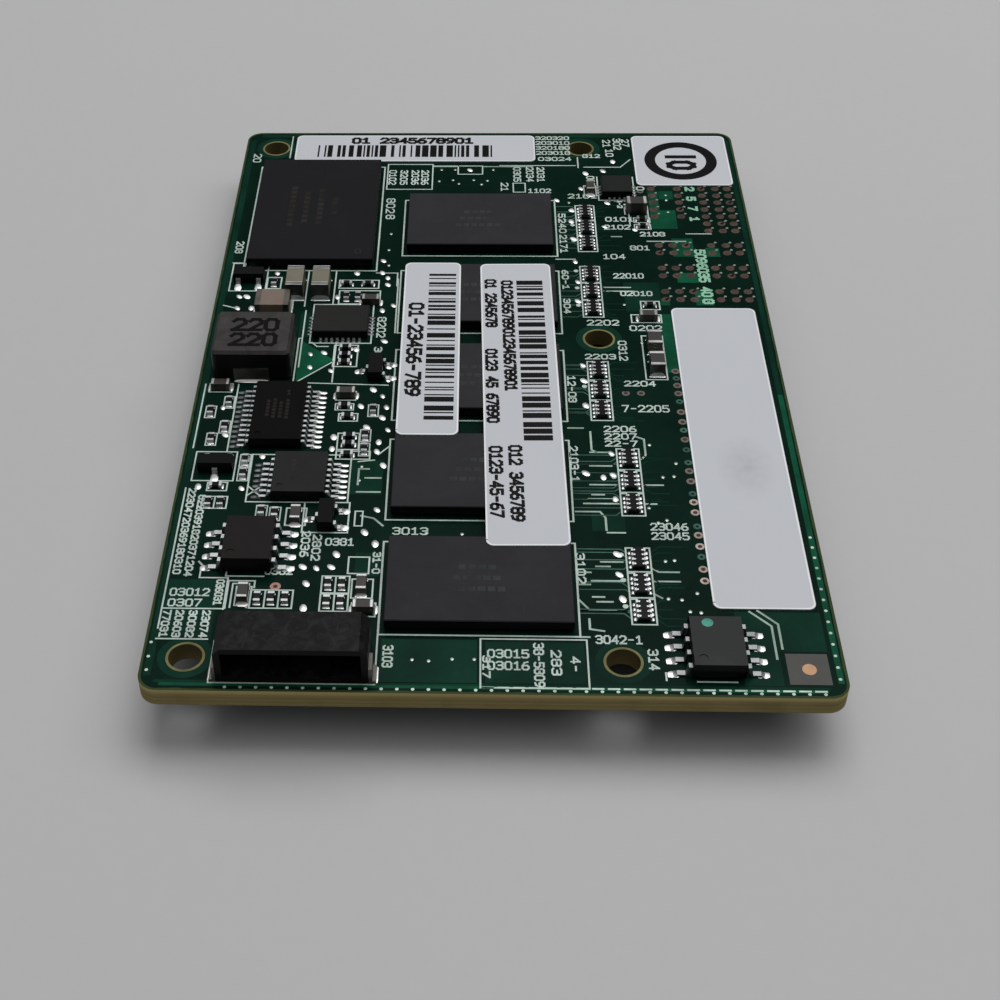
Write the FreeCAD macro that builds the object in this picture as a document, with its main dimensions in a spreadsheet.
import FreeCAD, Part

import math
import os

import Sketcher

# Cache mezzanine card of a server RAID controller, as a parametric FreeCAD document.
#
# Frame: X to the right, Y to the back, +Z up, millimetres.  The origin is the centre of the
# four corner mounting holes, on the board's lower face, where the standoffs seat.
# The spreadsheet gives places on the board from its front left corner; a part that belongs
# to the right or back edge is placed from that edge, so it stays there on a larger board.

DOC = FreeCAD.newDocument("CacheMezzanineCard")
SHEET = DOC.addObject("Spreadsheet::Sheet", "Sizes")
Vector = FreeCAD.Vector
UP = Vector(0, 0, 1)
SLACK = 1e-5

# ---------------------------------------------------------------------------------------
# Driving dimensions (mm): name, value, meaning
# ---------------------------------------------------------------------------------------
SIZES = [
    # bare board
    ("board_width", 50.8, "left to right"),
    ("board_length", 78.0, "front to back"),
    ("board_thick", 1.57, "FR-4 laminate with copper and mask"),
    ("board_corner", 1.5, "outline corner radius"),
    ("hole_dia", 2.5, "clearance hole for an M2.5 screw"),
    ("hole_inset_x", 3.2, "left hole column from the left edge"),
    ("hole_inset_y", 3.2, "hole rows from the front and back edges"),
    ("hole_span_x", 31.75, "left hole column to right hole column"),
    ("centre_hole_x", 35.2, "fifth hole, from the left edge"),
    ("centre_hole_y", 41.85, "fifth hole, from the front edge"),
    # ball grid packages
    ("ball_gap", 0.3, "height of the solder ball field"),
    ("ball_inset", 0.55, "ball field inside the package outline"),
    ("top_chamfer", 0.07, "sawn edge of a moulded package"),
    ("memory_wide", 14.0, "memory package, left to right"),
    ("memory_deep", 9.0, "memory package, front to back"),
    ("memory_tall", 1.12, "top face above the board"),
    ("memory_left", 17.54, "column of memory, left edge"),
    ("memory_front", 6.03, "first memory package, front edge"),
    ("memory_pitch", 12.32, "from one memory package to the next"),
    ("flash_wide", 12.0, "flash package, left to right"),
    ("flash_deep", 18.0, "flash package, front to back"),
    ("flash_tall", 1.15, "top face above the board"),
    ("flash_left", 2.42, "left edge"),
    ("flash_back_gap", 7.3, "flash package to the board's back edge"),
    # moulded power inductor
    ("coil_wide", 6.86, "left to right"),
    ("coil_deep", 6.47, "front to back"),
    ("coil_tall", 3.0, "top face above the board"),
    ("coil_corner", 0.5, "moulded vertical edge"),
    ("coil_top_bevel", 0.25, "moulded top edge"),
    ("coil_x", 4.7, "centre"),
    ("coil_y", 38.75, "centre"),
    ("coil_tab_wide", 3.1, "terminal strip"),
    ("coil_tab_thick", 0.15, "terminal strip"),
    ("coil_tab_up", 1.3, "terminal's height on the front and back faces"),
    ("coil_tab_under", 1.2, "terminal's length under the body"),
    # leaded packages: what they share
    ("mould_draft", 8.0, "draft of a moulded body, degrees"),
    ("lead_shoulder", 0.6, "a lead's upper bend, as a share of the way from body to foot"),
    ("dimple_deep", 0.06, "first-lead mark sunk in the top face"),
    ("dimple_inset", 0.75, "first-lead mark, from two sides of the body"),
    # 24-lead and 14-lead thin packages
    ("tssop_wide", 4.4, "body across the leads"),
    ("tssop_span", 6.4, "lead tip to lead tip"),
    ("tssop_tall", 1.1, "top face above the board"),
    ("tssop_stand", 0.1, "body above the board"),
    ("tssop_exit", 0.6, "lead centre line at the body"),
    ("tssop_pitch", 0.65, "lead pitch"),
    ("tssop_lead_wide", 0.25, "lead"),
    ("tssop_lead_thick", 0.15, "lead"),
    ("tssop_foot", 0.55, "flat of the lead on its pad"),
    ("tssop_dimple", 0.5, "first-lead mark"),
    ("monitor_long", 7.8, "24-lead body along its leads"),
    ("monitor_x", 7.55, "centre"),
    ("monitor_y", 30.3, "centre"),
    ("driver_long", 5.0, "14-lead body along its leads"),
    ("driver_x", 10.0, "centre"),
    ("driver_y", 22.45, "centre"),
    # eight-lead small outline packages
    ("so_wide", 3.9, "body across the leads"),
    ("so_long", 4.9, "body along the leads"),
    ("so_span", 6.0, "lead tip to lead tip"),
    ("so_tall", 1.55, "top face above the board"),
    ("so_stand", 0.15, "body above the board"),
    ("so_exit", 0.9, "lead centre line at the body"),
    ("so_pitch", 1.27, "lead pitch"),
    ("so_lead_wide", 0.42, "lead"),
    ("so_lead_thick", 0.2, "lead"),
    ("so_foot", 0.6, "flat of the lead on its pad"),
    ("so_dimple", 0.7, "first-lead mark"),
    ("switch_x", 6.75, "left package, centre"),
    ("switch_y", 14.25, "left package, centre"),
    ("settings_right_gap", 9.15, "right package, centre from the right edge"),
    ("settings_y", 4.0, "right package, centre"),
    # three-lead transistors
    ("sot_wide", 1.3, "body across the leads"),
    ("sot_long", 2.9, "body along the leads"),
    ("sot_span", 2.4, "lead tip to lead tip"),
    ("sot_tall", 1.05, "top face above the board"),
    ("sot_stand", 0.05, "body above the board"),
    ("sot_exit", 0.55, "lead centre line at the body"),
    ("sot_pair", 1.9, "spacing of the paired leads"),
    ("sot_lead_wide", 0.42, "lead"),
    ("sot_lead_thick", 0.13, "lead"),
    ("sot_foot", 0.25, "flat of the lead on its pad"),
    # leadless packages
    ("pad_thick", 0.2, "leadframe under a leadless body"),
    ("pad_wide", 0.26, "edge pad"),
    ("pad_long", 0.4, "edge pad"),
    ("pad_gap", 0.4, "edge pad to centre pad"),
    ("regulator_wide", 5.0, "left to right"),
    ("regulator_deep", 4.0, "front to back"),
    ("regulator_tall", 0.95, "top face above the board"),
    ("regulator_pitch", 0.5, "pad pitch"),
    ("regulator_x", 12.0, "centre"),
    ("regulator_y", 43.6, "centre"),
    ("clock_wide", 3.0, "square body"),
    ("clock_tall", 0.9, "top face above the board"),
    ("clock_pitch", 0.5, "pad pitch"),
    ("clock_x", 38.2, "centre"),
    ("clock_back_gap", 11.4, "centre to the board's back edge"),
    # two-terminal chips: length over the ends, width, height, end cap
    ("c1210_long", 3.1, "wide capacitor"),
    ("c1210_wide", 2.5, "wide capacitor"),
    ("c1210_tall", 1.3, "wide capacitor"),
    ("c1210_end", 0.5, "wide capacitor"),
    ("c1206_long", 3.1, "tall capacitor"),
    ("c1206_wide", 1.6, "tall capacitor"),
    ("c1206_tall", 1.7, "tall capacitor"),
    ("c1206_end", 0.5, "tall capacitor"),
    ("c0805_long", 2.0, "supply capacitor"),
    ("c0805_wide", 1.25, "supply capacitor"),
    ("c0805_tall", 1.25, "supply capacitor"),
    ("c0805_end", 0.42, "supply capacitor"),
    ("c0603_long", 1.6, "small capacitor"),
    ("c0603_wide", 0.8, "small capacitor"),
    ("c0603_tall", 0.75, "small capacitor"),
    ("c0603_end", 0.3, "small capacitor"),
    ("r0402_long", 1.0, "chip resistor"),
    ("r0402_wide", 0.5, "chip resistor"),
    ("r0402_tall", 0.37, "chip resistor"),
    ("r0402_end", 0.22, "chip resistor"),
    ("cap_wrap", 0.02, "end cap standing proud of its ceramic"),
    # four-element resistor arrays
    ("array_long", 2.0, "along its row of terminals"),
    ("array_wide", 0.8, "ceramic, across"),
    ("array_tall", 0.4, "top face above the board"),
    ("array_pitch", 0.5, "terminal pitch"),
    ("array_step", 2.75, "from one array to the next in a stack"),
    ("array_end_wide", 0.28, "terminal"),
    ("array_end_deep", 0.15, "terminal"),
    ("array_column_x", 34.9, "three back stacks, centre line"),
    ("array_front_x", 36.75, "two front stacks, centre line"),
    # side-entry cable connector at the front edge
    ("cable_wide", 11.0, "left to right"),
    ("cable_deep", 3.8, "front to back"),
    ("cable_tall", 3.4, "top face above the board"),
    ("cable_wall", 0.5, "housing wall"),
    ("cable_x", 11.2, "centre"),
    ("cable_front", 0.85, "mouth, from the board's front edge"),
    ("cable_pitch", 1.0, "contact pitch"),
    ("cable_pin", 0.32, "square contact"),
    ("cable_tail", 0.9, "contact tail behind the housing"),
    ("cable_bevel", 0.6, "slope at both ends of the top"),
    ("cable_tip", 2.0, "contact tip, from the mouth"),
    ("tab_thick", 0.25, "hold-down tab"),
    ("tab_long", 1.6, "hold-down tab, along the housing's side"),
    ("tab_tall", 1.5, "hold-down tab"),
    ("tab_foot", 0.5, "hold-down tab's foot on its pad"),
    # board-to-board connector on the lower face
    ("array_grid", 1.27, "contact grid, both ways"),
    ("stack_wide", 9.4, "housing, left to right"),
    ("stack_tall", 4.0, "housing, below the board"),
    ("stack_wall", 0.85, "shroud wall"),
    ("stack_floor", 1.0, "housing against the board"),
    ("stack_right_gap", 5.25, "centre line to the board's right edge"),
    ("stack_y", 38.2, "centre"),
    ("stack_end_wall", 1.5, "shroud wall at the ends"),
    ("stack_key", 1.6, "keying notch in one end wall"),
    ("stack_key_deep", 2.0, "keying notch, from the rim"),
    ("stack_pin_wide", 0.45, "contact blade"),
    ("stack_pin_thick", 0.25, "contact blade"),
    ("stack_pin_tall", 2.2, "contact blade standing in the shroud"),
    # decoupling capacitors on the lower face, under the memory
    ("under_columns_x", 21.4, "first column under each memory package"),
    ("under_step_x", 3.1, "from one column to the next"),
    ("under_row_gap", 5.2, "between the two rows"),
    # paper labels
    ("label_thick", 0.1, "label stock"),
    ("label_corner", 0.6, "die-cut corner"),
    ("strip_long", 25.0, "standard strip label"),
    ("strip_wide", 5.2, "standard strip label"),
    ("serial_x", 17.75, "back strip label, centre"),
    ("serial_back_gap", 3.3, "centre to the board's back edge"),
    ("stock_x", 20.18, "left strip on the memory, centre"),
    ("stock_ahead", 4.3, "centre behind the middle memory package's centre"),
    ("part_wide", 6.5, "long label on the memory"),
    ("part_long", 37.9, "long label on the memory"),
    ("part_x", 28.07, "centre"),
    ("part_behind", 2.3, "centre ahead of the middle memory package's centre"),
    ("part_turn", 0.75, "degrees, counter-clockwise"),
    ("period_side", 9.7, "square label"),
    ("period_right_gap", 5.6, "centre to the board's right edge"),
    ("period_back_gap", 5.65, "centre to the board's back edge"),
    ("blank_wide", 7.6, "long label beside the hole column"),
    ("blank_long", 37.9, "long label beside the hole column"),
    ("blank_right_gap", 5.05, "centre to the board's right edge"),
    ("blank_y", 27.5, "centre"),
]

# Counts, which are whole numbers and belong to the kind of package
MEMORY_COUNT = 5
MONITOR_LEADS = 12
DRIVER_LEADS = 7
SO_LEADS = 4
REGULATOR_PADS_LONG = 8
REGULATOR_PADS_SHORT = 6
CLOCK_PADS = 4
ARRAY_TERMINALS = 4
ARRAYS_IN_STACK = 3
CABLE_CONTACTS = 9
STACK_ROWS = 6
STACK_CONTACTS = 40
UNDER_COLUMNS = 3

# Front array of each stack: column, centre from the front edge
BACK_STACKS = [("array_column_x", 57.0), ("array_column_x", 46.4), ("array_column_x", 31.7)]
FRONT_STACKS = [("array_front_x", 19.95), ("array_front_x", 8.2)]

# Chip places: x and y from the front left corner, and whether the chip lies front to back
ALONG_X = False
ALONG_Y = True
WIDE_CAPACITOR_PLACES = [(5.55, 46.3, ALONG_X)]
TALL_CAPACITOR_PLACES = [(7.4, 49.2, ALONG_Y), (9.8, 49.2, ALONG_Y)]
SUPPLY_CAPACITOR_PLACES = [
    (40.0, 37.5, ALONG_Y),
    (40.0, 40.65, ALONG_Y),
    (39.95, 62.95, ALONG_X),
]
SMALL_CAPACITOR_PLACES = [
    (2.1, 34.5, ALONG_X),
    (13.05, 33.5, ALONG_X),
    (14.5, 47.2, ALONG_X),
    (10.0, 18.1, ALONG_Y),
    (6.75, 9.4, ALONG_Y),
    (15.9, 8.1, ALONG_X),
    (15.65, 10.4, ALONG_Y),
    (39.8, 44.9, ALONG_X),
    (35.6, 66.6, ALONG_Y),
]
RESISTOR_PLACES = [
    # three in a row behind the cable connector, and two pairs to their right
    (7.85, 9.1, ALONG_Y), (8.9, 9.1, ALONG_Y), (9.95, 9.1, ALONG_Y),
    (13.1, 8.8, ALONG_Y), (14.15, 8.8, ALONG_Y), (13.1, 10.7, ALONG_Y), (14.15, 10.7, ALONG_Y),
    # left of the 14-lead package
    (2.8, 19.7, ALONG_Y), (3.8, 19.7, ALONG_Y), (3.2, 21.7, ALONG_X), (5.25, 23.2, ALONG_Y),
    (5.25, 24.9, ALONG_Y),
    # between the 14-lead package and the left small outline package
    (7.2, 18.7, ALONG_Y), (8.3, 18.5, ALONG_Y),
    # left of the 24-lead package
    (2.1, 27.6, ALONG_Y), (3.05, 29.2, ALONG_Y), (3.05, 32.5, ALONG_Y), (1.6, 31.2, ALONG_Y),
    # right of the 24-lead package
    (13.6, 25.7, ALONG_X), (13.65, 27.0, ALONG_X), (13.65, 28.0, ALONG_X),
    (13.35, 30.6, ALONG_X), (13.0, 32.0, ALONG_X), (15.0, 26.4, ALONG_Y), (15.0, 28.2, ALONG_Y),
    (15.5, 31.5, ALONG_Y),
    # in front of the regulator
    (12.6, 38.1, ALONG_X), (12.6, 39.1, ALONG_X), (12.6, 40.2, ALONG_X),
    # behind the regulator
    (12.2, 48.0, ALONG_Y), (13.25, 48.0, ALONG_Y), (12.1, 50.1, ALONG_X), (14.1, 50.1, ALONG_X),
    (5.25, 50.3, ALONG_Y),
    # right of the resistor arrays
    (40.4, 61.2, ALONG_X), (40.4, 60.0, ALONG_X), (40.1, 46.9, ALONG_X),
]

# Transistors: node, x, y, quarter turns; the paired leads face +X before the turn
TRANSISTOR_PLACES = [
    ("rear_transistor", 2.85, 50.9, 3),
    ("side_transistor", 15.45, 36.9, 0),
    ("left_transistor", 2.95, 24.0, 1),
    ("front_transistor", 12.45, 17.9, 0),
]

# ---------------------------------------------------------------------------------------
# Sheet, and expressions for places on the board
# ---------------------------------------------------------------------------------------
for row, (alias, number, meaning) in enumerate(SIZES, start=1):
    SHEET.set(f"A{row}", alias)
    SHEET.set(f"B{row}", str(number))
    SHEET.set(f"C{row}", meaning)
    SHEET.setAlias(f"B{row}", alias)
DOC.recompute()

ORIGIN_X = "(Sizes.hole_inset_x + Sizes.hole_span_x / 2)"
ORIGIN_Y = "(Sizes.board_length / 2)"


def from_left(distance):
    """X of a place given from the board's left edge."""
    return f"{distance} - {ORIGIN_X}"


def from_right(gap):
    """X of a place given from the board's right edge."""
    return f"Sizes.board_width - {gap} - {ORIGIN_X}"


def from_front(distance):
    """Y of a place given from the board's front edge."""
    return f"{distance} - {ORIGIN_Y}"


def from_back(gap):
    """Y of a place given from the board's back edge."""
    return f"Sizes.board_length - {gap} - {ORIGIN_Y}"


def value(expression):
    """Present value of an expression, to start a sketch near its solution."""
    return float(SHEET.evalExpression(expression))


def place(item, x, y, z="Sizes.board_thick", turn="0"):
    """Bind an object's place to the sheet; turn is in degrees about +Z."""
    item.Placement = FreeCAD.Placement(Vector(), FreeCAD.Rotation(UP, value(turn)))
    item.setExpression("Placement.Rotation.Angle", turn)
    item.setExpression("Placement.Base.x", x)
    item.setExpression("Placement.Base.y", y)
    item.setExpression("Placement.Base.z", z)


# ---------------------------------------------------------------------------------------
# Sketches and features
# ---------------------------------------------------------------------------------------
SUB_PARTS = []


def sub_part(kind, label):
    """Add an object that is one node of the assembly."""
    item = DOC.addObject(kind, label)
    item.Label = label
    SUB_PARTS.append(item)
    return item


def datum(body, role):
    """One of the body's own origin planes or axes."""
    return next(item for item in body.Origin.OriginFeatures if item.Role == role)


def sketch_on(body, role, name, x="0", y="0", height="0", about_face=False):
    """Sketch on an origin plane, moved in the plane by x, y and along its normal by height.

    about_face turns the sketch half a turn about its own upright axis.
    """
    sketch = body.newObject("Sketcher::SketchObject", f"{body.Name}_{name}")
    sketch.AttachmentSupport = [(datum(body, role), "")]
    sketch.MapMode = "FlatFace"
    if about_face:
        half_turn = FreeCAD.Rotation(Vector(0, 1, 0), 180)
        sketch.AttachmentOffset = FreeCAD.Placement(Vector(), half_turn)
    sketch.setExpression("AttachmentOffset.Base.x", x)
    sketch.setExpression("AttachmentOffset.Base.y", y)
    sketch.setExpression("AttachmentOffset.Base.z", height)
    return sketch


def dimension(sketch, name, constraint, expression):
    """Named driving dimension bound to the sheet."""
    index = sketch.addConstraint(constraint)
    sketch.renameConstraint(index, name)
    sketch.setExpression(f".Constraints.{name}", expression)


def rectangle(sketch, wide, deep):
    """Rectangle centred on the sketch's origin, its sides bound to two expressions."""
    corners = [Vector(-1, -1), Vector(1, -1), Vector(1, 1), Vector(-1, 1)]
    for index, corner in enumerate(corners):
        sketch.addGeometry(Part.LineSegment(corner, corners[(index + 1) % 4]))
    for index in range(4):
        sketch.addConstraint(Sketcher.Constraint("Coincident", index, 2, (index + 1) % 4, 1))
    for index in (0, 2):
        sketch.addConstraint(Sketcher.Constraint("Horizontal", index))
        sketch.addConstraint(Sketcher.Constraint("Vertical", index + 1))
    sketch.addConstraint(Sketcher.Constraint("Symmetric", 0, 1, 2, 1, -1, 1))
    dimension(sketch, "wide", Sketcher.Constraint("DistanceX", 0, 1, 0, 2, 2), wide)
    dimension(sketch, "deep", Sketcher.Constraint("DistanceY", 1, 1, 1, 2, 2), deep)
    return sketch


def stepped_outline(sketch, corners):
    """Closed outline of upright and level lines by turns, the first one upright.

    corners are pairs of expressions; each line shares one coordinate with the line before.
    """
    points = [Vector(value(x), value(y)) for x, y in corners]
    count = len(points)
    for index, point in enumerate(points):
        sketch.addGeometry(Part.LineSegment(point, points[(index + 1) % count]))
    for index, (x, y) in enumerate(corners):
        upright = index % 2 == 0
        sketch.addConstraint(Sketcher.Constraint("Coincident", index, 2, (index + 1) % count, 1))
        sketch.addConstraint(Sketcher.Constraint("Vertical" if upright else "Horizontal", index))
        if upright and y == "0":
            sketch.addConstraint(Sketcher.Constraint("PointOnObject", index, 1, -1))
        elif upright:
            dimension(sketch, f"corner_{index}_up",
                      Sketcher.Constraint("DistanceY", -1, 1, index, 1, points[index].y), y)
        else:
            dimension(sketch, f"corner_{index}_out",
                      Sketcher.Constraint("DistanceX", -1, 1, index, 1, points[index].x), x)
    return sketch


def circle(sketch, name, x, y, diameter):
    """Circle placed from the sketch's origin by two expressions."""
    index = sketch.addGeometry(Part.Circle(Vector(1, 1), UP, 1))
    dimension(sketch, f"{name}_dia", Sketcher.Constraint("Diameter", index, 2), diameter)
    dimension(sketch, f"{name}_x", Sketcher.Constraint("DistanceX", -1, 1, index, 3, 1), x)
    dimension(sketch, f"{name}_y", Sketcher.Constraint("DistanceY", -1, 1, index, 3, 1), y)


def pad(body, sketch, length, down=False, taper=None, centred=False):
    """Pad of a sketch; taper is the draft that narrows it away from the sketch."""
    feature = body.newObject("PartDesign::Pad", f"{sketch.Name}_pad")
    feature.Profile = sketch
    feature.setExpression("Length", length)
    feature.Reversed = down
    feature.Midplane = centred
    if taper:
        feature.setExpression("TaperAngle", f"-{taper}")
    body.Tip = feature
    return feature


def pocket(body, sketch, length, upward=False):
    """Pocket of a sketch; checks that it takes material away."""
    DOC.recompute()
    before = body.Shape.Volume
    feature = body.newObject("PartDesign::Pocket", f"{sketch.Name}_pocket")
    feature.Profile = sketch
    feature.setExpression("Length", length)
    feature.Reversed = upward
    body.Tip = feature
    DOC.recompute()
    if body.Shape.Volume > before - SLACK:
        raise RuntimeError(f"{feature.Name} cuts nothing")
    return feature


def dress(body, kind, edges_of, bound, expression):
    """Fillet or chamfer on the edges that edges_of picks from the body's shape so far."""
    DOC.recompute()
    base = body.Tip
    names = [f"Edge{number}" for number, edge in enumerate(base.Shape.Edges, start=1)
             if edges_of(edge, base.Shape.BoundBox)]
    feature = body.newObject(f"PartDesign::{kind}", f"{body.Name}_{kind.lower()}")
    feature.Base = (base, names)
    feature.setExpression(bound, expression)
    body.Tip = feature
    return feature


def is_upright(edge, box):
    """Edges that run along Z for the whole height."""
    rise = edge.BoundBox.ZLength
    return abs(rise - box.ZLength) < SLACK and edge.BoundBox.DiagonalLength < rise + SLACK


def is_top_rim(edge, box):
    """Edges that lie in the top plane."""
    return edge.BoundBox.ZMin > box.ZMax - SLACK


def is_top_end(edge, box):
    """Edges of the top plane that run along Y."""
    return is_top_rim(edge, box) and edge.BoundBox.XLength < SLACK


def pattern(body, feature, axis, step, count, mirror=None):
    """Rows of a feature at a step along an axis, mirrored too if a plane is named."""
    multi = body.newObject("PartDesign::MultiTransform", f"{feature.Name}_rows")
    rows = body.newObject("PartDesign::LinearPattern", f"{feature.Name}_row")
    rows.Direction = (datum(body, axis), [""])
    rows.Occurrences = count
    rows.setExpression("Length", f"{step} * {count - 1}")
    steps = [rows]
    if mirror:
        other_side = body.newObject("PartDesign::Mirrored", f"{feature.Name}_mirror")
        other_side.MirrorPlane = (datum(body, mirror), [""])
        steps.append(other_side)
    multi.Originals = [feature]
    multi.Transformations = steps
    body.Tip = multi
    return multi


# ---------------------------------------------------------------------------------------
# Bare board
# ---------------------------------------------------------------------------------------
def make_board():
    """Routed laminate plate with four corner holes and a fifth in the middle."""
    body = sub_part("PartDesign::Body", "circuit_board")
    outline = rectangle(sketch_on(body, "XY_Plane", "outline"), "Sizes.board_width", "Sizes.board_length")
    pad(body, outline, "Sizes.board_thick")
    dress(body, "Fillet", is_upright, "Radius", "Sizes.board_corner")
    holes = sketch_on(body, "XY_Plane", "holes", x="-Sizes.board_width / 2", y="-Sizes.board_length / 2")
    columns = {"left": "Sizes.hole_inset_x", "right": "Sizes.hole_inset_x + Sizes.hole_span_x"}
    rows = {"front": "Sizes.hole_inset_y", "back": "Sizes.board_length - Sizes.hole_inset_y"}
    for column, x in columns.items():
        for row, y in rows.items():
            circle(holes, f"{row}_{column}", x, y, "Sizes.hole_dia")
    circle(holes, "centre", "Sizes.centre_hole_x", "Sizes.centre_hole_y", "Sizes.hole_dia")
    pocket(body, holes, "Sizes.board_thick", upward=True)
    place(body, from_left("Sizes.board_width / 2"), "0", z="0")


# ---------------------------------------------------------------------------------------
# Ball grid packages
# ---------------------------------------------------------------------------------------
def make_ball_grid_chip(label, family, x, y):
    """Moulded slab over its ball field, which is set in from the outline as one block."""
    body = sub_part("PartDesign::Body", label)
    inset = "2 * Sizes.ball_inset"
    field = rectangle(sketch_on(body, "XY_Plane", "balls"),
                      f"Sizes.{family}_wide - {inset}", f"Sizes.{family}_deep - {inset}")
    pad(body, field, "Sizes.ball_gap")
    slab = rectangle(sketch_on(body, "XY_Plane", "slab", height="Sizes.ball_gap"),
                     f"Sizes.{family}_wide", f"Sizes.{family}_deep")
    pad(body, slab, f"Sizes.{family}_tall - Sizes.ball_gap")
    dress(body, "Chamfer", is_top_rim, "Size", "Sizes.top_chamfer")
    place(body, x, y)


def make_memory():
    """Column of equal memory packages."""
    x = from_left("(Sizes.memory_left + Sizes.memory_wide / 2)")
    for index in range(MEMORY_COUNT):
        y = f"(Sizes.memory_front + Sizes.memory_deep / 2 + {index} * Sizes.memory_pitch)"
        make_ball_grid_chip(f"memory_chip_{index + 1}", "memory", x, from_front(y))


def make_flash():
    """Flash package at the back left."""
    make_ball_grid_chip("flash_chip", "flash", from_left("(Sizes.flash_left + Sizes.flash_wide / 2)"),
                        from_back("(Sizes.flash_back_gap + Sizes.flash_deep / 2)"))


# ---------------------------------------------------------------------------------------
# Power inductor
# ---------------------------------------------------------------------------------------
def make_inductor():
    """Pressed-powder block with a terminal strip folded under it at the front and back."""
    x = from_left("Sizes.coil_x")
    y = from_front("Sizes.coil_y")
    body = sub_part("PartDesign::Body", "power_inductor")
    outline = rectangle(sketch_on(body, "XY_Plane", "outline", height="Sizes.coil_tab_thick"),
                        "Sizes.coil_wide", "Sizes.coil_deep - 2 * Sizes.coil_tab_thick")
    pad(body, outline, "Sizes.coil_tall - Sizes.coil_tab_thick")
    dress(body, "Fillet", is_upright, "Radius", "Sizes.coil_corner")
    dress(body, "Chamfer", is_top_rim, "Size", "Sizes.coil_top_bevel")
    place(body, x, y)

    tabs = sub_part("PartDesign::Body", "power_inductor_terminals")
    outer = "Sizes.coil_deep / 2"
    thick = "Sizes.coil_tab_thick"
    section = stepped_outline(sketch_on(tabs, "YZ_Plane", "section"), [
        (outer, "0"), (outer, "Sizes.coil_tab_up"), (f"{outer} - {thick}", "Sizes.coil_tab_up"),
        (f"{outer} - {thick}", thick), (f"{outer} - Sizes.coil_tab_under", thick),
        (f"{outer} - Sizes.coil_tab_under", "0"),
    ])
    strip = pad(tabs, section, "Sizes.coil_tab_wide", centred=True)
    both_ends(tabs, strip, "XZ_Plane")
    place(tabs, x, y)


def both_ends(body, feature, plane):
    """The feature and its mirror image."""
    mirror = body.newObject("PartDesign::Mirrored", f"{feature.Name}_mirror")
    mirror.Originals = [feature]
    mirror.MirrorPlane = (datum(body, plane), [""])
    body.Tip = mirror


# ---------------------------------------------------------------------------------------
# Leaded packages
# ---------------------------------------------------------------------------------------
def make_moulded_body(label, family, long, x, y, turn="0"):
    """Transfer-moulded body: a band as thick as the leads, drafted above and below it."""
    body = sub_part("PartDesign::Body", label)
    wide = f"Sizes.{family}_wide"
    lead = f"Sizes.{family}_lead_thick"
    exit_up = f"Sizes.{family}_exit"
    band = rectangle(sketch_on(body, "XY_Plane", "band", height=exit_up), wide, long)
    pad(body, band, lead, centred=True)
    upper = rectangle(sketch_on(body, "XY_Plane", "upper", height=f"{exit_up} + {lead} / 2"), wide, long)
    pad(body, upper, f"Sizes.{family}_tall - {exit_up} - {lead} / 2", taper="Sizes.mould_draft")
    lower = rectangle(sketch_on(body, "XY_Plane", "lower", height=f"{exit_up} - {lead} / 2"), wide, long)
    pad(body, lower, f"{exit_up} - {lead} / 2 - Sizes.{family}_stand", down=True, taper="Sizes.mould_draft")
    place(body, x, y, turn=turn)
    return body


def sink_dimple(body, family, long):
    """Round mark by the first lead, at the front left corner of the top face."""
    mark = sketch_on(body, "XY_Plane", "dimple", height=f"Sizes.{family}_tall",
                     x=f"-Sizes.{family}_wide / 2", y=f"-({long}) / 2")
    circle(mark, "mark", "Sizes.dimple_inset", "Sizes.dimple_inset", f"Sizes.{family}_dimple")
    pocket(body, mark, "Sizes.dimple_deep")


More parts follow.
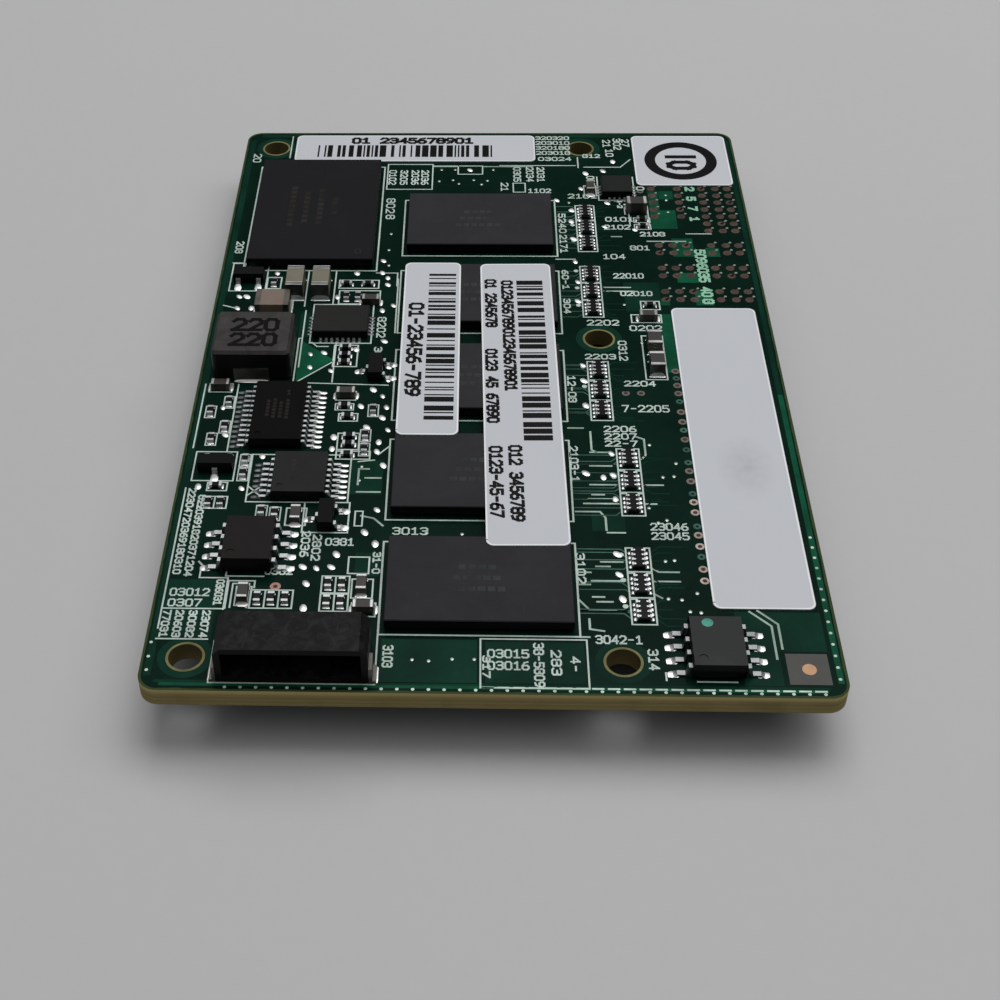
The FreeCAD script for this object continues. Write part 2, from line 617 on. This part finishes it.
def lead_outline(sketch, family):
    """Side view of a gull-wing lead: level out of the body, down, and flat along the board.

    The corners run clockwise from the top of the cut at the body.  The two faces of the slope
    are parallel and a lead's thickness apart, so the lead keeps its thickness round both bends.
    """
    level = (f"Sizes.lead_shoulder * (Sizes.{family}_span / 2 - Sizes.{family}_foot"
             f" - Sizes.{family}_wide / 2)")
    thick = value(f"Sizes.{family}_lead_thick")
    top = value(f"Sizes.{family}_exit") + thick / 2
    root = value(f"Sizes.{family}_wide / 2")
    tip = value(f"Sizes.{family}_span / 2")
    shoulder = root + value(level)
    heel = tip - value(f"Sizes.{family}_foot")
    mitre = thick * math.tan(math.atan2(top - thick, heel - shoulder) / 2)
    corners = [Vector(root, top), Vector(shoulder, top), Vector(heel, thick), Vector(tip, thick),
               Vector(tip, 0), Vector(heel - mitre, 0), Vector(shoulder - mitre, top - thick),
               Vector(root, top - thick)]
    for index, corner in enumerate(corners):
        sketch.addGeometry(Part.LineSegment(corner, corners[(index + 1) % len(corners)]))
    over, front, foot, end, sole, back, under, cut = range(len(corners))
    for index in range(len(corners)):
        following = (index + 1) % len(corners)
        sketch.addConstraint(Sketcher.Constraint("Coincident", index, 2, following, 1))
    for line in (over, foot, sole, under):
        sketch.addConstraint(Sketcher.Constraint("Horizontal", line))
    for line in (end, cut):
        sketch.addConstraint(Sketcher.Constraint("Vertical", line))
    sketch.addConstraint(Sketcher.Constraint("Parallel", front, back))
    sketch.addConstraint(Sketcher.Constraint("PointOnObject", sole, 1, -1))
    for name, constraint, expression in (
        ("root", ("DistanceX", -1, 1, over, 1, root), f"Sizes.{family}_wide / 2"),
        ("top", ("DistanceY", -1, 1, over, 1, top), f"Sizes.{family}_exit + Sizes.{family}_lead_thick / 2"),
        ("shoulder", ("DistanceX", over, 1, over, 2, shoulder - root), level),
        ("tip", ("DistanceX", -1, 1, end, 1, tip), f"Sizes.{family}_span / 2"),
        ("foot", ("DistanceX", foot, 1, foot, 2, tip - heel), f"Sizes.{family}_foot"),
        ("foot_thick", ("DistanceY", end, 2, end, 1, thick), f"Sizes.{family}_lead_thick"),
        ("slope_thick", ("Distance", back, 1, front, thick), f"Sizes.{family}_lead_thick"),
        ("root_thick", ("DistanceY", cut, 1, cut, 2, thick), f"Sizes.{family}_lead_thick"),
    ):
        dimension(sketch, name, Sketcher.Constraint(*constraint), expression)
    return sketch


def gull_wing_lead(body, family, offset, name, far_side=False):
    """One lead at an offset along its row, on the +X side or on the far side."""
    side = sketch_on(body, "XZ_Plane", name, height=f"-({offset})", about_face=far_side)
    return pad(body, lead_outline(side, family), f"Sizes.{family}_lead_wide", centred=True)


def make_two_row_leads(label, family, count, x, y):
    """Equal rows of leads on both sides of a package."""
    body = sub_part("PartDesign::Body", label)
    first = f"-Sizes.{family}_pitch * {count - 1} / 2"
    lead = gull_wing_lead(body, family, first, "lead")
    pattern(body, lead, "Y_Axis", f"Sizes.{family}_pitch", count, mirror="YZ_Plane")
    place(body, x, y)


def make_thin_packages():
    """24-lead power monitor and 14-lead switch driver."""
    for label, count in (("monitor", MONITOR_LEADS), ("driver", DRIVER_LEADS)):
        x = from_left(f"Sizes.{label}_x")
        y = from_front(f"Sizes.{label}_y")
        long = f"Sizes.{label}_long"
        sink_dimple(make_moulded_body(f"power_{label}_chip", "tssop", long, x, y), "tssop", long)
        make_two_row_leads(f"power_{label}_leads", "tssop", count, x, y)


def make_small_outline_packages():
    """Power switch on the left and settings memory on the right."""
    y = {"switch": from_front("Sizes.switch_y"), "settings": from_front("Sizes.settings_y")}
    x = {"switch": from_left("Sizes.switch_x"), "settings": from_right("Sizes.settings_right_gap")}
    for label, name in (("switch", "power_switch"), ("settings", "settings_memory")):
        body = make_moulded_body(f"{name}_chip", "so", "Sizes.so_long", x[label], y[label])
        sink_dimple(body, "so", "Sizes.so_long")
        make_two_row_leads(f"{name}_leads", "so", SO_LEADS, x[label], y[label])


def make_transistors():
    """Three-lead transistors: a pair of leads on one side and a single one on the other."""
    for label, x_mm, y_mm, quarter_turns in TRANSISTOR_PLACES:
        x = from_left(x_mm)
        y = from_front(y_mm)
        turn = f"90 * {quarter_turns}"
        make_moulded_body(label, "sot", "Sizes.sot_long", x, y, turn)
        leads = sub_part("PartDesign::Body", f"{label}_leads")
        pair = gull_wing_lead(leads, "sot", "-Sizes.sot_pair / 2", "pair_lead")
        pattern(leads, pair, "Y_Axis", "Sizes.sot_pair", 2)
        gull_wing_lead(leads, "sot", "0", "single_lead", far_side=True)
        place(leads, x, y, turn=turn)


# ---------------------------------------------------------------------------------------
# Leadless packages
# ---------------------------------------------------------------------------------------
def make_leadless_chip(label, family, wide, deep, columns, rows, x, y):
    """Sawn body on its leadframe: a centre pad, and edge pads flush with the four sides."""
    body = sub_part("PartDesign::Body", label)
    outline = rectangle(sketch_on(body, "XY_Plane", "outline", height="Sizes.pad_thick"), wide, deep)
    pad(body, outline, f"Sizes.{family}_tall - Sizes.pad_thick")
    dress(body, "Chamfer", is_top_rim, "Size", "Sizes.top_chamfer")
    place(body, x, y)

    frame = sub_part("PartDesign::Body", f"{label}_pads")
    pitch = f"Sizes.{family}_pitch"
    pads = (
        ("long_edge", f"-{pitch} * {columns - 1} / 2", f"-({deep}) / 2 + Sizes.pad_long / 2",
         "Sizes.pad_wide", "Sizes.pad_long", "X_Axis", columns, "XZ_Plane"),
        ("short_edge", f"-({wide}) / 2 + Sizes.pad_long / 2", f"-{pitch} * {rows - 1} / 2",
         "Sizes.pad_long", "Sizes.pad_wide", "Y_Axis", rows, "YZ_Plane"),
    )
    for name, pad_x, pad_y, pad_wide, pad_deep, axis, count, mirror in pads:
        edge = rectangle(sketch_on(frame, "XY_Plane", name, x=pad_x, y=pad_y), pad_wide, pad_deep)
        edge_pad = pad(frame, edge, "Sizes.pad_thick")
        pattern(frame, edge_pad, axis, pitch, count, mirror=mirror)
    clear = "2 * (Sizes.pad_long + Sizes.pad_gap)"
    centre = rectangle(sketch_on(frame, "XY_Plane", "centre"), f"{wide} - {clear}", f"{deep} - {clear}")
    pad(frame, centre, "Sizes.pad_thick")
    place(frame, x, y)


def make_leadless_packages():
    """Power regulator on the left and clock chip at the back."""
    make_leadless_chip("regulator_chip", "regulator", "Sizes.regulator_wide", "Sizes.regulator_deep",
                       REGULATOR_PADS_LONG, REGULATOR_PADS_SHORT,
                       from_left("Sizes.regulator_x"), from_front("Sizes.regulator_y"))
    make_leadless_chip("clock_chip", "clock", "Sizes.clock_wide", "Sizes.clock_wide",
                       CLOCK_PADS, CLOCK_PADS, from_left("Sizes.clock_x"),
                       from_back("Sizes.clock_back_gap"))


# ---------------------------------------------------------------------------------------
# Two-terminal chips
# ---------------------------------------------------------------------------------------
def block(name, wide, deep, tall, x, y, z):
    """Upright box centred on x, y with its foot at z, all bound to the sheet."""
    box = DOC.addObject("Part::Box", name)
    box.setExpression("Length", wide)
    box.setExpression("Width", deep)
    box.setExpression("Height", tall)
    box.setExpression("Placement.Base.x", f"{x} - ({wide}) / 2")
    box.setExpression("Placement.Base.y", f"{y} - ({deep}) / 2")
    box.setExpression("Placement.Base.z", z)
    return box


def two_terminal_chip(name, family, x, y, along_y, z="Sizes.board_thick"):
    """Ceramic block between two end caps that wrap it; returns the block and both caps."""
    long = f"Sizes.{family}_long"
    wide = f"Sizes.{family}_wide"
    tall = f"Sizes.{family}_tall"
    end = f"Sizes.{family}_end"
    middle = f"({long} - 2 * {end})"
    reach = f"({long} - {end}) / 2"
    slim = f"({wide} - 2 * Sizes.cap_wrap)"
    low = f"({tall} - Sizes.cap_wrap)"
    if along_y:
        ceramic = block(f"{name}_ceramic", slim, middle, low, x, y, z)
        caps = [block(f"{name}_cap_{sign}", wide, end, tall, x, f"{y} {sign} {reach}", z)
                for sign in "-+"]
    else:
        ceramic = block(f"{name}_ceramic", middle, slim, low, x, y, z)
        caps = [block(f"{name}_cap_{sign}", end, wide, tall, f"{x} {sign} {reach}", y, z)
                for sign in "-+"]
    return ceramic, caps


def group(label, members):
    """Separate like pieces kept together as one node."""
    compound = sub_part("Part::Compound", label)
    compound.Links = members


def make_chip_group(label, family, places, z="Sizes.board_thick"):
    """All chips of one size: a node for their ceramics and a node for their end caps."""
    ceramics = []
    caps = []
    for number, (x_mm, y_mm, along_y) in enumerate(places, start=1):
        ceramic, pair = two_terminal_chip(f"{label}_{number}", family, from_left(x_mm),
                                          from_front(y_mm), along_y, z)
        ceramics.append(ceramic)
        caps.extend(pair)
    group(f"{label}_bodies", ceramics)
    group(f"{label}_end_caps", caps)


def make_chips():
    """Capacitors and resistors scattered over the upper face."""
    make_chip_group("wide_capacitor", "c1210", WIDE_CAPACITOR_PLACES)
    make_chip_group("tall_capacitor", "c1206", TALL_CAPACITOR_PLACES)
    make_chip_group("supply_capacitor", "c0805", SUPPLY_CAPACITOR_PLACES)
    make_chip_group("small_capacitor", "c0603", SMALL_CAPACITOR_PLACES)
    make_chip_group("chip_resistor", "r0402", RESISTOR_PLACES)


def make_underside_capacitors():
    """Two rows of decoupling capacitors on the lower face under each memory package."""
    places = []
    for index in range(MEMORY_COUNT):
        middle = f"(Sizes.memory_front + Sizes.memory_deep / 2 + {index} * Sizes.memory_pitch)"
        for side in "-+":
            y = f"{middle} {side} Sizes.under_row_gap / 2"
            for column in range(UNDER_COLUMNS):
                x = f"Sizes.under_columns_x + {column} * Sizes.under_step_x"
                places.append((x, y, ALONG_X))
    make_chip_group("underside_capacitor", "r0402", places, z="-Sizes.r0402_tall")


# ---------------------------------------------------------------------------------------
# Resistor arrays
# ---------------------------------------------------------------------------------------
def make_resistor_arrays():
    """Stacks of four-element arrays, each a ceramic strip with four terminals a side."""
    z = "Sizes.board_thick"
    ceramics = []
    terminals = []
    for stack, (column, first_y) in enumerate(BACK_STACKS + FRONT_STACKS, start=1):
        x = from_left(f"Sizes.{column}")
        for step in range(ARRAYS_IN_STACK):
            name = f"array_{stack}_{step + 1}"
            y = from_front(f"({first_y} + {step} * Sizes.array_step)")
            ceramics.append(block(f"{name}_ceramic", "Sizes.array_wide", "Sizes.array_long",
                                  "Sizes.array_tall", x, y, z))
            for number in range(ARRAY_TERMINALS):
                along = f"{y} + Sizes.array_pitch * ({number} - {ARRAY_TERMINALS - 1} / 2)"
                for side in "-+":
                    across = f"{x} {side} (Sizes.array_wide + Sizes.array_end_deep) / 2"
                    terminals.append(block(f"{name}_terminal", "Sizes.array_end_deep",
                                           "Sizes.array_end_wide", "Sizes.array_tall",
                                           across, along, z))
    group("resistor_array_bodies", ceramics)
    group("resistor_array_terminals", terminals)


# ---------------------------------------------------------------------------------------
# Cable connector at the front edge
# ---------------------------------------------------------------------------------------
def make_cable_connector():
    """Side-entry receptacle: an open-mouthed shell, its row of contacts and two hold-down tabs.

    Local frame: the mouth looks along -Y and the housing's centre is the origin.
    """
    x = from_left("Sizes.cable_x")
    y = from_front("(Sizes.cable_front + Sizes.cable_deep / 2)")
    wall = "Sizes.cable_wall"

    shell = sub_part("PartDesign::Body", "cable_connector_housing")
    outline = rectangle(sketch_on(shell, "XY_Plane", "outline"), "Sizes.cable_wide", "Sizes.cable_deep")
    pad(shell, outline, "Sizes.cable_tall")
    dress(shell, "Chamfer", is_top_end, "Size", "Sizes.cable_bevel")
    cavity = rectangle(sketch_on(shell, "XZ_Plane", "cavity", y="Sizes.cable_tall / 2",
                                 height="Sizes.cable_deep / 2"),
                       f"Sizes.cable_wide - 2 * {wall}", f"Sizes.cable_tall - 2 * {wall}")
    pocket(shell, cavity, f"Sizes.cable_deep - {wall}")
    first = f"-Sizes.cable_pitch * {CABLE_CONTACTS - 1} / 2"
    pin_hole = rectangle(sketch_on(shell, "XZ_Plane", "pin_hole", x=first, y="Sizes.cable_tall / 2",
                                   height=f"{wall} - Sizes.cable_deep / 2"),
                         "Sizes.cable_pin", "Sizes.cable_pin")
    pin_holes = pocket(shell, pin_hole, wall)
    pattern(shell, pin_holes, "X_Axis", "Sizes.cable_pitch", CABLE_CONTACTS)
    place(shell, x, y)

    contacts = sub_part("PartDesign::Body", "cable_connector_contacts")
    section = stepped_outline(sketch_on(contacts, "YZ_Plane", "section", height=first), contact_corners())
    blade = pad(contacts, section, "Sizes.cable_pin", centred=True)
    pattern(contacts, blade, "X_Axis", "Sizes.cable_pitch", CABLE_CONTACTS)
    place(contacts, x, y)

    tabs = sub_part("PartDesign::Body", "cable_connector_tabs")
    section = stepped_outline(sketch_on(tabs, "XZ_Plane", "section",
                                        height="Sizes.cable_deep / 2 - Sizes.tab_long"), tab_corners())
    tab = pad(tabs, section, "Sizes.tab_long")
    both_ends(tabs, tab, "YZ_Plane")
    place(tabs, x, y)


def contact_corners():
    """Contact seen from the side: pin in the cavity, through the back wall, down to its tail."""
    half = "Sizes.cable_deep / 2"
    start = f"-{half} + Sizes.cable_tip"
    back = f"{half} + Sizes.cable_pin"
    tail = f"{half} + Sizes.cable_tail"
    over = "Sizes.cable_tall / 2 + Sizes.cable_pin / 2"
    under = "Sizes.cable_tall / 2 - Sizes.cable_pin / 2"
    foot = "Sizes.cable_pin / 2"
    return [(start, under), (start, over), (back, over), (back, foot),
            (tail, foot), (tail, "0"), (half, "0"), (half, under)]


def tab_corners():
    """Hold-down tab seen from the front: a wall on the housing's side and a foot on its pad."""
    side = "Sizes.cable_wide / 2"
    thick = "Sizes.tab_thick"
    return [(side, "0"), (side, "Sizes.tab_tall"), (f"{side} + {thick}", "Sizes.tab_tall"),
            (f"{side} + {thick}", thick), (f"{side} + Sizes.tab_foot", thick),
            (f"{side} + Sizes.tab_foot", "0")]


# ---------------------------------------------------------------------------------------
# Board-to-board connector on the lower face
# ---------------------------------------------------------------------------------------
def make_board_connector():
    """Shrouded plug hanging from the lower face, with a grid of contact blades.

    Local frame: z = 0 is the board's lower face and the plug mates downwards.
    """
    x = from_right("Sizes.stack_right_gap")
    y = from_front("Sizes.stack_y")
    grid_wide = f"{STACK_ROWS - 1} * Sizes.array_grid"
    grid_long = f"{STACK_CONTACTS - 1} * Sizes.array_grid"
    shroud_wide = "(Sizes.stack_wide - 2 * Sizes.stack_wall)"
    shroud_long = f"({grid_long} + {shroud_wide} - {grid_wide})"
    total_long = f"({shroud_long} + 2 * Sizes.stack_end_wall)"

    housing = sub_part("PartDesign::Body", "board_connector_housing")
    outline = rectangle(sketch_on(housing, "XY_Plane", "outline"), "Sizes.stack_wide", total_long)
    pad(housing, outline, "Sizes.stack_tall", down=True)
    shroud = rectangle(sketch_on(housing, "XY_Plane", "shroud", height="-Sizes.stack_tall"),
                       shroud_wide, shroud_long)
    pocket(housing, shroud, "Sizes.stack_tall - Sizes.stack_floor", upward=True)
    key = rectangle(sketch_on(housing, "XY_Plane", "key", height="-Sizes.stack_tall",
                              y=f"-({total_long} - Sizes.stack_end_wall) / 2"),
                    "Sizes.stack_key", "Sizes.stack_end_wall")
    pocket(housing, key, "Sizes.stack_key_deep", upward=True)
    place(housing, x, y, z="0")

    contacts = sub_part("PartDesign::Body", "board_connector_contacts")
    section = rectangle(sketch_on(contacts, "XY_Plane", "blade", height="-Sizes.stack_floor",
                                  x=f"-{grid_wide} / 2", y=f"-{grid_long} / 2"),
                        "Sizes.stack_pin_thick", "Sizes.stack_pin_wide")
    blade = pad(contacts, section, "Sizes.stack_pin_tall", down=True)
    grid = pattern(contacts, blade, "X_Axis", "Sizes.array_grid", STACK_ROWS)
    files = contacts.newObject("PartDesign::LinearPattern", "contact_files")
    files.Direction = (datum(contacts, "Y_Axis"), [""])
    files.Occurrences = STACK_CONTACTS
    files.setExpression("Length", grid_long)
    grid.Transformations = grid.Transformations + [files]
    place(contacts, x, y, z="0")


# ---------------------------------------------------------------------------------------
# Paper labels
# ---------------------------------------------------------------------------------------
def make_label(label, wide, deep, x, y, z="Sizes.board_thick", turn="0"):
    """Flat die-cut label with rounded corners."""
    body = sub_part("PartDesign::Body", label)
    outline = rectangle(sketch_on(body, "XY_Plane", "outline"), wide, deep)
    pad(body, outline, "Sizes.label_thick")
    dress(body, "Fillet", is_upright, "Radius", "Sizes.label_corner")
    place(body, x, y, z, turn)


def make_labels():
    """Three labels on the board and two across the memory packages."""
    middle_memory = (f"(Sizes.memory_front + Sizes.memory_deep / 2"
                     f" + {MEMORY_COUNT // 2} * Sizes.memory_pitch)")
    on_memory = "Sizes.board_thick + Sizes.memory_tall"
    make_label("serial_label", "Sizes.strip_long", "Sizes.strip_wide",
               from_left("Sizes.serial_x"), from_back("Sizes.serial_back_gap"))
    make_label("period_label", "Sizes.period_side", "Sizes.period_side",
               from_right("Sizes.period_right_gap"), from_back("Sizes.period_back_gap"))
    make_label("blank_label", "Sizes.blank_wide", "Sizes.blank_long",
               from_right("Sizes.blank_right_gap"), from_front("Sizes.blank_y"))
    make_label("stock_label", "Sizes.strip_wide", "Sizes.strip_long", from_left("Sizes.stock_x"),
               from_front(f"({middle_memory} + Sizes.stock_ahead)"), on_memory)
    make_label("part_label", "Sizes.part_wide", "Sizes.part_long", from_left("Sizes.part_x"),
               from_front(f"({middle_memory} - Sizes.part_behind)"), on_memory,
               turn="Sizes.part_turn")


# ---------------------------------------------------------------------------------------
# Build, check and write
# ---------------------------------------------------------------------------------------
def check_and_write():
    """Stop on any failed object or bad shape, then write one STEP file for each node."""
    DOC.recompute()
    failed = [item.Name for item in DOC.Objects if {"Invalid", "Error"} & set(item.State)]
    if failed:
        raise RuntimeError(f"failed objects: {failed}")
    for item in SUB_PARTS:
        if item.Shape.isNull() or not item.Shape.isValid() or not item.Shape.Solids:
            raise RuntimeError(f"bad shape: {item.Label}")
    os.makedirs("parts", exist_ok=True)
    for item in SUB_PARTS:
        item.Shape.exportStep(f"parts/{item.Label}.step")
        print(f"{item.Label:32} {len(item.Shape.Solids):4} solids {item.Shape.Volume:10.3f} mm3")


make_board()
make_memory()
make_flash()
make_inductor()
make_thin_packages()
make_small_outline_packages()
make_transistors()
make_leadless_packages()
make_chips()
make_resistor_arrays()
make_cable_connector()
make_board_connector()
make_underside_capacitors()
make_labels()
check_and_write()
